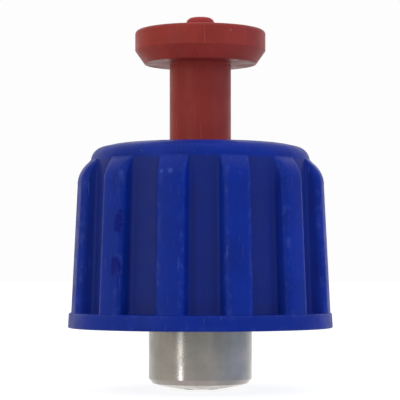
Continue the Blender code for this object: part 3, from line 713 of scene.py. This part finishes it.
def ledge(rim_r, turn):
    """Section and height at a turn, from 0 to 90 degrees, of the round between flange and wall."""
    z = flange_top_z + LEDGE_ROUND * (1 - math.cos(turn))
    spread = LEDGE_ROUND * (1 - math.sin(turn))
    section = full_section(wall_r(z), rib_height(z))
    room = [min(max((rim_r - point[0]) / LEDGE_ROOM, 0), 1) for point in section]
    return [(r + spread * share, *rest) for (r, *rest), share in zip(section, room)], z


def thread_r(z, angle):
    """Radius of the female thread, as deep as its flank is at that place in the pitch."""
    turn = (z - mouth_z) / THREAD_PITCH - angle / (2 * math.pi)
    off_middle = abs(turn - round(turn)) * THREAD_PITCH
    drop = max(off_middle - THREAD_ROOT / 2, 0) / math.tan(THREAD_HALF_ANGLE)
    return max(THREAD_MAJOR_R - drop, THREAD_MINOR_R)


def screw_cap():
    feet = full_section(wall_r(flange_top_z), rib_height(flange_top_z))
    angles = [point[1] for point in feet]
    rows = []
    wears = []
    groove_shades = []

    def shaped(section, z):
        """Adds a row that follows the section."""
        rows.append([(r * math.cos(a), r * math.sin(a), z + up) for r, a, up, _, _ in section])
        wears.extend(point[3] for point in section)
        groove_shades.extend(point[4] for point in section)

    def plain(radius, z, wear=0.0):
        """Adds a round row."""
        shaped([(radius, a, 0, wear, 0) for a in angles], z)

    for share in (0.0, 0.5):
        plain(MOUTH_R + (FLANGE_R - FLANGE_EDGE - MOUTH_R) * share, mouth_z)
    for r, z in arc(FLANGE_R - FLANGE_EDGE, mouth_z + FLANGE_EDGE, FLANGE_EDGE, -90, 0, RIM_STEPS):
        plain(r, z, RIM_WEAR)
    for share in (0.33, 0.67):
        rise = FLANGE_EDGE + (FLANGE_HEIGHT - 2 * FLANGE_EDGE) * share
        plain(FLANGE_R - FLANGE_DRAFT * share, mouth_z + rise)
    rim_r = FLANGE_R - FLANGE_DRAFT - FLANGE_EDGE
    for r, z in arc(rim_r, flange_top_z - FLANGE_EDGE, FLANGE_EDGE, 0, 90, RIM_STEPS):
        plain(r, z, RIM_WEAR)
    widest, _ = ledge(rim_r, 0)
    for share in (0.35, 0.7):
        shaped([(rim_r + (r - rim_r) * share, a, 0, 0, groove_shade) for r, a, _, _, groove_shade in widest], flange_top_z)
    for k in range(LEDGE_STEPS + 1):
        shaped(*ledge(rim_r, math.radians(90 * k / LEDGE_STEPS)))
    low = flange_top_z + LEDGE_ROUND
    for k in range(1, WALL_ROWS + 1):
        z = low + (rib_round_z - low) * k / WALL_ROWS
        shaped(full_section(wall_r(z), rib_height(z)), z)
    round_r = RIB_HIGH_R - RIB_TOP_ROUND
    rib_end = math.atan2(shoulder_z - rib_round_z, WALL_HIGH_R - round_r)
    for k in range(1, RIB_TOP_ROWS):
        tilt = rib_end * k / RIB_TOP_ROWS
        z = rib_round_z + (wall_r(rib_round_z) - round_r) * math.tan(tilt)
        left = RIB_TOP_ROUND - (wall_r(z) - round_r) / math.cos(tilt)
        height = (left + math.hypot(left, RIB_BLEND)) / 2
        shaped(full_section(wall_r(z), height, tilt), z)
    shoulder_r = WALL_HIGH_R - SHOULDER_ROUND
    for r, z in arc(shoulder_r, shoulder_z, SHOULDER_ROUND, 0, 90, SHOULDER_STEPS):
        shaped([(r, point[1], 0, 0, 0) for point in full_section(WALL_HIGH_R, 0)], z)
    for share in (0.25, 0.5, 0.75):
        fall = CROWN_DROP * (1 - share) ** 2
        plain(shoulder_r + (CROWN_R - shoulder_r) * share, cap_top_z - fall)
    for share in (0.0, 0.3, 0.6, 0.9):
        plain(CROWN_R + (HOLE_R + HOLE_ROUND - CROWN_R) * share, cap_top_z)
    for r, z in arc(HOLE_R + HOLE_ROUND, cap_top_z - HOLE_ROUND, HOLE_ROUND, 90, 180, RIM_STEPS):
        plain(r, z)
    ceiling_z = cap_top_z - TOP_WALL
    for r, z in (
        (HOLE_R, ceiling_z + HOLE_ROUND),
        (HOLE_R + HOLE_ROUND, ceiling_z),
        (CHAMBER_R, ceiling_z),
        (CHAMBER_R, (ceiling_z + LEDGE_Z) / 2),
        (CHAMBER_R, LEDGE_Z),
        (COLLAR_BORE_R, LEDGE_Z),
        (COLLAR_BORE_R, COLLAR_LOW_Z),
        (GASKET_GROOVE_R, COLLAR_LOW_Z),
        (GASKET_GROOVE_R, THREAD_TOP_Z),
    ):
        plain(r, z)
    bevel_z = mouth_z + MOUTH_BEVEL
    for k in range(THREAD_ROWS + 1):
        z = THREAD_TOP_Z + (bevel_z - THREAD_TOP_Z) * k / THREAD_ROWS
        shaped([(thread_r(z, a), a, 0, 0, 0) for a in angles], z)
    thing = piece("cap_shell", *skin(rows), finishes["blue_plastic"])
    # the edges' wear, and the painted shade in the grooves
    for name, values in (("worn_edge", wears), ("painted_groove_shade", groove_shades)):
        thing.data.attributes.new(name, "FLOAT", "POINT").data.foreach_set("value", values)
    fit(thing, "cap", "screw_cap")


# --- button, stem and nozzle ---------------------------------------------------------------


def flush_plunger():
    rod_end_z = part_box("poppet_seal")[0].z
    dome = arc(BUTTON_R - BUTTON_EDGE, BUTTON_TOP_Z - BUTTON_EDGE, BUTTON_EDGE, 0, 90, ROUND_STEPS)
    recess_z = BUTTON_TOP_Z - RECESS_DEPTH
    socket_z = BUTTON_TOP_Z - SOCKET_DEPTH
    stem = softened(
        [
            (0, rod_end_z + PILOT_DEPTH),
            (PILOT_R, rod_end_z + PILOT_DEPTH),
            (PILOT_R, rod_end_z),
            (ROD_R, rod_end_z),
            (ROD_R, STEM_SHOULDER_Z),
            (STEM_R, STEM_SHOULDER_Z),
            (STEM_R, CLIP_GROOVE_LOW_Z),
            (CLIP_GROOVE_R, CLIP_GROOVE_LOW_Z),
            (CLIP_GROOVE_R, CLIP_GROOVE_TOP_Z),
            (STEM_R, CLIP_GROOVE_TOP_Z),
            (STEM_R, BUTTON_LOW_Z),
            (BUTTON_UNDER_R, BUTTON_LOW_Z),
            (BUTTON_R, BUTTON_CHAMFER_Z),
            *dome,
            (RECESS_R, BUTTON_TOP_Z),
            (RECESS_R, recess_z),
            (SOCKET_R, recess_z),
            (SOCKET_R, socket_z),
            (WATERWAY_R, socket_z),
            (WATERWAY_R, WATERWAY_LOW_Z),
            (0, WATERWAY_LOW_Z),
        ],
        BUTTON_SOFT,
    )
    thing = turned("flush_plunger_body", stem, finishes["red_plastic"])
    bore(thing, "flush_plunger_port", [((0, 0, PORT_Z), (1, 0, 0), PORT_R, 2 * ROD_R)])
    fit(thing, "plunger", "flush_plunger")


def drip_nozzle():
    top_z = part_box("drip_nozzle")[1].z
    foot_z = BUTTON_TOP_Z - NOZZLE_FOOT
    outline = [
        (SPIGOT_R, BUTTON_TOP_Z - SPIGOT_DEPTH),
        (SPIGOT_R, foot_z),
        (NOZZLE_R, foot_z),
        *arc(NOZZLE_R - NOZZLE_CROWN, top_z - NOZZLE_CROWN, NOZZLE_CROWN, 0, 90, ROUND_STEPS),
        (ORIFICE_R, top_z),
        (ORIFICE_R, top_z - NOZZLE_CROWN),
        (NOZZLE_BORE_R, top_z - NOZZLE_CROWN),
        (NOZZLE_BORE_R, BUTTON_TOP_Z - SPIGOT_DEPTH),
    ]
    thing = turned("drip_nozzle_tip", softened(outline, NOZZLE_SOFT), finishes["red_nozzle"], SIDES_INSIDE)
    fit(thing, "plunger", "drip_nozzle")


# --- sleeve, bonnet, seals and spring ------------------------------------------------------


def valve_sleeve():
    dome_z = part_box("valve_sleeve")[0].z
    rim_z = dome_z + SLEEVE_RIM_RISE
    dome_radius = (SLEEVE_RIM_R**2 + SLEEVE_RIM_RISE**2) / (2 * SLEEVE_RIM_RISE)
    half_angle = math.degrees(math.asin(SLEEVE_RIM_R / dome_radius))
    dome = arc(0, dome_z + dome_radius, dome_radius, -90, -90 + half_angle, DOME_STEPS)
    outline = [
        (0, dome_z),
        *dome[1:-1],
        (SLEEVE_RIM_R, rim_z),
        (SLEEVE_TIP_R, dome_z + SLEEVE_CHAMFER_RISE),
        (SLEEVE_R, COLLAR_LOW_Z),
        (COLLAR_R, COLLAR_LOW_Z),
        (COLLAR_R, COLLAR_TOP_Z),
        (NECK_R, COLLAR_TOP_Z),
        (NECK_R, NECK_TOP_Z),
        (BORE_R, NECK_TOP_Z),
        (BORE_R, STACK_GROOVE[1]),
        (STACK_GROOVE_R, STACK_GROOVE[1]),
        (STACK_GROOVE_R, STACK_GROOVE[0]),
        (BORE_R, STACK_GROOVE[0]),
        (BORE_R, STEP_Z),
        (INLET_R, STEP_Z),
        (INLET_R, dome_z + DOME_WALL),
        (0, dome_z + DOME_WALL),
    ]
    thing = turned("valve_sleeve_body", softened(outline, SLEEVE_SOFT), finishes["sleeve_metal"])
    ring = [2 * math.pi * i / STRAINER_COUNT for i in range(STRAINER_COUNT)]
    places = [(0, 0)] + [(STRAINER_RING_R * math.cos(a), STRAINER_RING_R * math.sin(a)) for a in ring]
    drills = [((x, y, dome_z), (0, 0, 1), STRAINER_HOLE_R, 2 * DOME_WALL) for x, y in places]
    bore(thing, "valve_sleeve_strainer", drills)
    fit(thing, "cartridge", "valve_sleeve")


def hexed(radius, z, angles):
    """A row of points around the axis, held inside the bonnet's six flats."""
    sixth = math.pi / 3
    row = []
    for a in angles:
        off_middle = (a + sixth / 2) % sixth - sixth / 2
        r = min(radius, BONNET_FLAT_R / math.cos(off_middle))
        row.append((r * math.cos(a), r * math.sin(a), z))
    return row


def bonnet():
    top_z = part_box("bonnet")[1].z
    angles = [2 * math.pi * i / SIDES for i in range(SIDES)]
    low_flat_z = NECK_TOP_Z - BONNET_GAP
    roof_z = NECK_TOP_Z + BONNET_GAP
    outline = softened(
        [
            (SEAL_BORE_R, BONNET_LOW_Z),
            (BONNET_R, BONNET_LOW_Z),
            (BONNET_R, low_flat_z),
            (BONNET_R - HEX_STEP, low_flat_z + HEX_STEP),
            (BONNET_R, BONNET_SHOULDER_Z),
            (BONNET_NECK_R, BONNET_SHOULDER_Z),
            (BONNET_NECK_R, top_z),
            (BONNET_BORE_R, top_z),
            (BONNET_BORE_R, LIP_Z[1]),
            (LIP_BORE_R, LIP_Z[1]),
            (LIP_BORE_R, LIP_Z[0]),
            (SPRING_CHAMBER_R, LIP_Z[0]),
            (SPRING_CHAMBER_R, roof_z),
            (SKIRT_R, roof_z),
            (SKIRT_R, SEAL_TOP_Z),
            (SEAL_BORE_R, SEAL_TOP_Z),
        ],
        BONNET_SOFT,
        steps=3,
    )
    rows = [hexed(r, z, angles) if z > low_flat_z else circle_row(r, z, angles) for r, z in outline]
    thing = piece("bonnet_body", *skin(rows), finishes["black_plastic"])
    fit(thing, "cartridge", "bonnet")


def guide_bush():
    low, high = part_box("guide_bush")
    outline = [(LIP_BORE_R, low.z), (high.x, low.z), (high.x, high.z), (LIP_BORE_R, high.z)]
    thing = turned("guide_bush_ring", softened(outline, BUSH_SOFT), finishes["white_plastic"])
    fit(thing, "cartridge", "guide_bush")


def riser_gasket():
    low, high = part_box("riser_gasket")
    inner_r = SLEEVE_R + GASKET_GAP
    outline = [(inner_r, low.z), (high.x, low.z), (high.x, high.z), (inner_r, high.z)]
    thing = turned("riser_gasket_ring", softened(outline, GASKET_SOFT), finishes["black_rubber"])
    fit(thing, "cartridge", "riser_gasket")


def o_ring(node):
    low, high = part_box(node)
    cord_r = (high.z - low.z) / 2
    last = CORD_SIDES - 1
    outline = arc(high.x - cord_r, (low.z + high.z) / 2, cord_r, 0, 360 * last / CORD_SIDES, last)
    thing = turned(node + "_cord", outline, finishes["black_rubber"], SIDES_INSIDE)
    fit(thing, "cartridge", node)


def return_spring():
    """A round-wire spring with one closed turn at each end."""
    low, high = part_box("return_spring")
    length = high.z - low.z - 2 * WIRE_R
    open_pitch = (length - 2 * CLOSED_PITCH) / (SPRING_TURNS - 2)
    rows = []
    steps = SPRING_TURNS * SPRING_STEPS
    for i in range(steps + 1):
        turns = i / SPRING_STEPS
        closed = min(turns, 1) + max(turns - (SPRING_TURNS - 1), 0)
        z = low.z + WIRE_R + CLOSED_PITCH * closed + open_pitch * (turns - closed)
        angle = 2 * math.pi * turns
        centre = Vector((SPRING_R * math.cos(angle), SPRING_R * math.sin(angle), z))
        outward = Vector((math.cos(angle), math.sin(angle), 0))
        spokes = [2 * math.pi * k / WIRE_SIDES for k in range(WIRE_SIDES)]
        up = Vector((0, 0, 1))
        rows.append([tuple(centre + WIRE_R * (math.cos(s) * outward + math.sin(s) * up)) for s in spokes])
        if i == 0:
            rows.insert(0, [tuple(centre)])
        elif i == steps:
            rows.append([tuple(centre)])
    thing = piece("return_spring_wire", *skin(rows), finishes["spring_steel"])
    fit(thing, "cartridge", "return_spring")
    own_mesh(thing)


# --- stage, light and camera ---------------------------------------------------------------


def seen_only(thing):
    """A stage piece that the camera sees, and that neither lights the object nor shows in it."""
    thing.visible_diffuse = False
    thing.visible_glossy = False
    thing.visible_transmission = False


def floor():
    low_z = cad_bounds[0][2]
    corners = [(x * FLOOR_REACH, y * FLOOR_REACH, low_z) for x, y in ((-1, -1), (1, -1), (1, 1), (-1, 1))]
    f = Finish("floor_paper", 0.9)
    f.color(f.mix(f.noise(FLOOR_CLOUD, 2.0), FLOOR_DARK, FLOOR_LIGHT))
    f.shader.inputs["Specular IOR Level"].default_value = 0.0
    f.shader.inputs["Emission Color"].default_value = (1, 1, 1, 1)
    f.shader.inputs["Emission Strength"].default_value = FLOOR_GLOW
    seen_only(piece("floor", corners, [(0, 1, 2, 3)], f.material))


def backdrop():
    form = bmesh.new()
    bmesh.ops.create_uvsphere(form, u_segments=48, v_segments=24, radius=BACKDROP_R)
    mesh = bpy.data.meshes.new("backdrop")
    form.to_mesh(mesh)
    form.free()
    f = Finish("backdrop_paper", 1.0)
    f.shader.inputs["Base Color"].default_value = (0, 0, 0, 1)
    f.shader.inputs["Specular IOR Level"].default_value = 0.0
    f.shader.inputs["Emission Color"].default_value = (1, 1, 1, 1)
    f.shader.inputs["Emission Strength"].default_value = BACKDROP_GLOW
    mesh.materials.append(f.material)
    thing = bpy.data.objects.new("backdrop", mesh)
    bpy.context.scene.collection.objects.link(thing)
    thing.visible_shadow = False
    seen_only(thing)


def surroundings():
    """A soft room: one colour from each of the six directions, blended over the sphere."""
    world = bpy.data.worlds.new("studio")
    world.use_nodes = True
    tree = world.node_tree
    way = tree.nodes.new("ShaderNodeTexCoord").outputs["Generated"]

    def step(operation, *values):
        made = tree.nodes.new("ShaderNodeVectorMath")
        made.operation = operation
        for socket, value in zip(made.inputs, values):
            if isinstance(value, bpy.types.NodeSocket):
                tree.links.new(value, socket)
            else:
                socket.default_value = value
        return made.outputs["Value" if operation == "DOT_PRODUCT" else "Vector"]

    ahead = step("MAXIMUM", way, (0, 0, 0))
    behind = step("MINIMUM", way, (0, 0, 0))
    ahead = step("MULTIPLY", ahead, ahead)
    behind = step("MULTIPLY", behind, behind)
    room = tree.nodes.new("ShaderNodeCombineColor")
    for channel in range(3):
        plus = step("DOT_PRODUCT", ahead, [ROOM_LIGHT[side][channel] for side in ("right", "back", "up")])
        minus = step("DOT_PRODUCT", behind, [ROOM_LIGHT[side][channel] for side in ("left", "front", "down")])
        whole = tree.nodes.new("ShaderNodeMath")
        tree.links.new(plus, whole.inputs[0])
        tree.links.new(minus, whole.inputs[1])
        tree.links.new(whole.outputs[0], room.inputs[channel])
    tree.links.new(room.outputs[0], tree.nodes["Background"].inputs["Color"])
    bpy.context.scene.world = world


def lamp(name, place, size, watts, color=(1, 1, 1)):
    data = bpy.data.lights.new(name, "AREA")
    data.shape = "RECTANGLE"
    data.size, data.size_y = size
    data.energy = watts
    data.color = color
    thing = bpy.data.objects.new(name, data)
    thing.location = place
    aim = Vector((0, 0, EYE_HEIGHT)) - Vector(place)
    thing.rotation_euler = aim.to_track_quat("-Z", "Y").to_euler()
    bpy.context.scene.collection.objects.link(thing)
    return thing


def light():
    bpy.context.scene.view_settings.view_transform = "Standard"
    surroundings()
    lamp("key", KEY_PLACE, KEY_SIZE, KEY_WATTS)
    fill = lamp("fill", FILL_PLACE, FILL_SIZE, FILL_WATTS, FILL_COLOR)
    fill.visible_glossy = False


def camera():
    data = bpy.data.cameras.new("camera")
    data.lens = LENS
    data.sensor_width = SENSOR
    data.clip_start = 10 * MM
    thing = bpy.data.objects.new("camera", data)
    swing = Matrix.Rotation(-EYE_SWING, 4, "Z")
    thing.location = swing @ Vector((EYE_ASIDE, -EYE_DISTANCE, EYE_HEIGHT))
    thing.rotation_euler = (EYE_PITCH, 0, -EYE_SWING)
    bpy.context.scene.collection.objects.link(thing)
    bpy.context.scene.camera = thing


def carried_over():
    """The CAD nodes that stay take their slot's finish."""
    for part in frame["record"]["subparts"]:
        node = frame["nodes"][part["node"]]
        if node.hide_render:
            continue
        finish = finishes[part["material_slot"]]
        for slot in node.material_slots:
            slot.material = finish


screw_cap()
flush_plunger()
drip_nozzle()
valve_sleeve()
bonnet()
guide_bush()
riser_gasket()
for seal in ("stem_o_ring", "bonnet_o_ring", "seat_o_ring"):
    o_ring(seal)
return_spring()
carried_over()
floor()
backdrop()
light()
camera()
